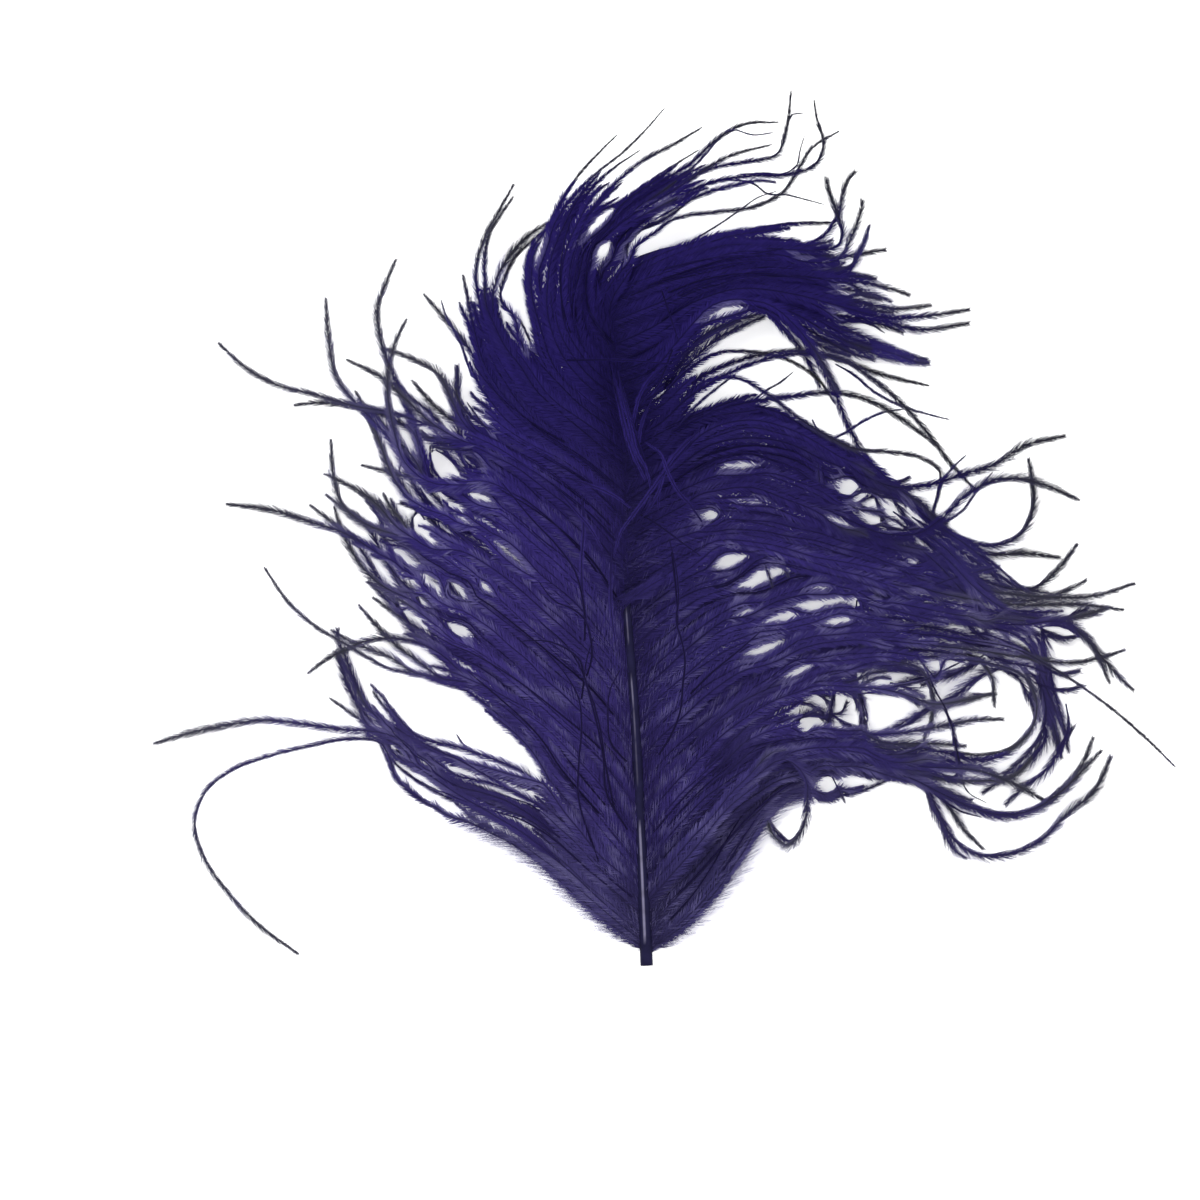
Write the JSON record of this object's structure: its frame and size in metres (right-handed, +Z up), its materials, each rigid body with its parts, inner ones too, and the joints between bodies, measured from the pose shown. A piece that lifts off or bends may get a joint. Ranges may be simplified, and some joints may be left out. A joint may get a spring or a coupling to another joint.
{
  "type": "ostrich feather",
  "caption": "Dyed soft plume lying down: an arched shaft with a short cut quill, long loose barbs in curling locks on both sides and a curled tip.",
  "frame": {"origin": "middle of the plan box of the feather as it lies, on the surface under it", "axes": "+Z up from the surface, -Y towards the cut end of the quill, +Y towards the tip, +X the side to which the tip curls"},
  "size_m": [0.1953, 0.167, 0.0166],
  "materials": {
    "dyed_barbs": "matte"
  },
  "bodies": {
    "root": {"feather": "dyed_barbs"}
  },
  "joints": []
}
